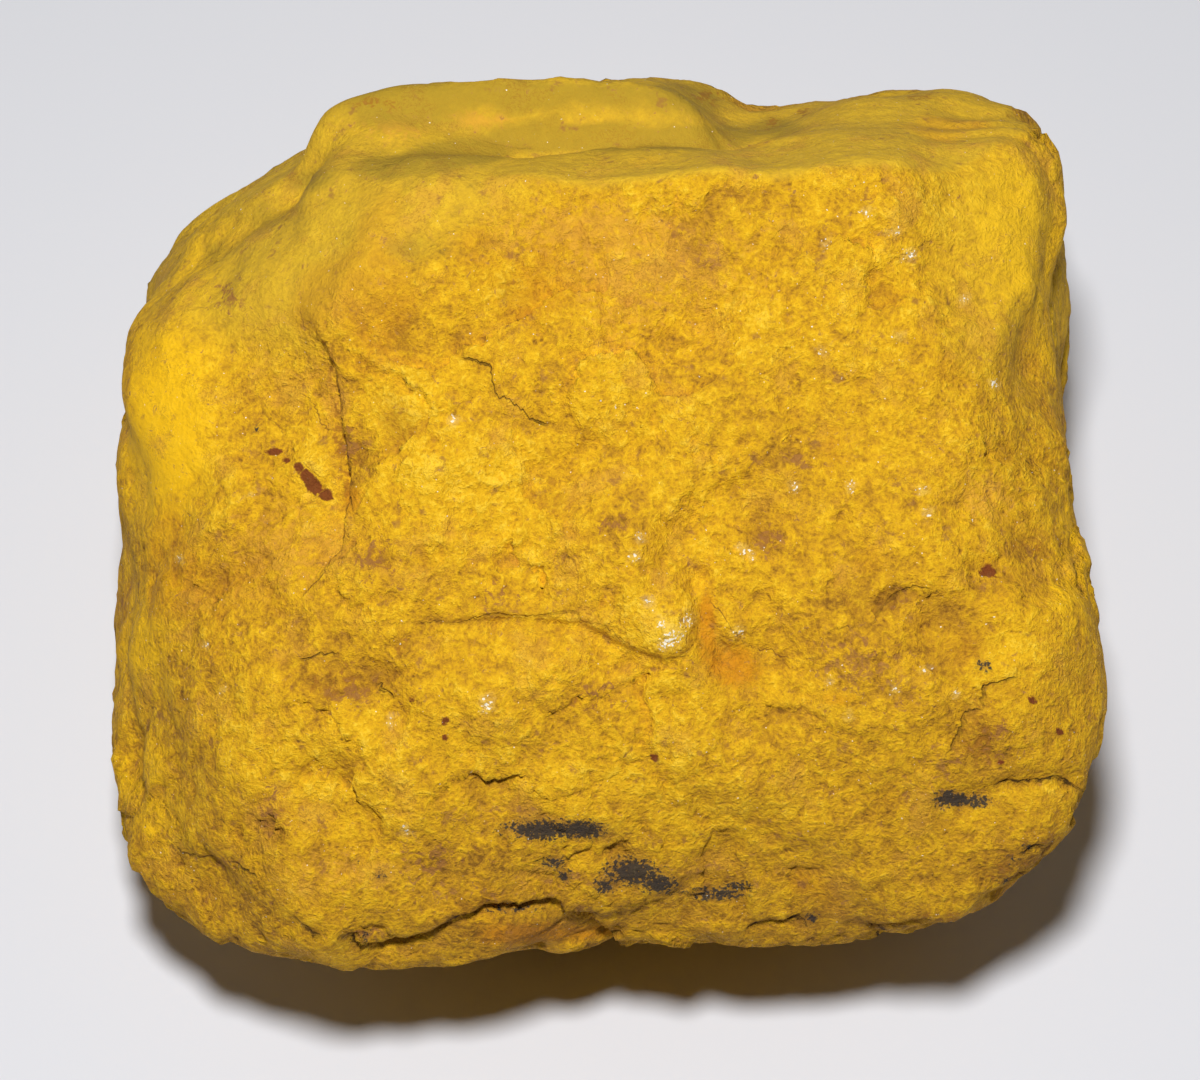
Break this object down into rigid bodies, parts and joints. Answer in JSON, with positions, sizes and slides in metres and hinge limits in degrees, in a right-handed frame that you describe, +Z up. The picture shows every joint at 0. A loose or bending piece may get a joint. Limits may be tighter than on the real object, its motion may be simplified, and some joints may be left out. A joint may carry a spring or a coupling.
{
  "type": "limonite ochre stone",
  "caption": "Blocky worn lump of soft yellow ochre earth, with a lower shelf along its back, cracks, pits and a flat facet that it rests on.",
  "frame": {"origin": "middle of the stone's outline, at the level of the facet that it rests on", "axes": "+Z up from the resting facet, +X along the stone's longest extent, -Y towards the side that the broad face leans to"},
  "size_m": [0.0442, 0.0416, 0.0333],
  "materials": {
    "ochre_earth": "dull earthy yellow with brown stains, small dark smudges and a few mica glints"
  },
  "bodies": {
    "root": {"ochre_stone": "ochre_earth"}
  },
  "joints": []
}
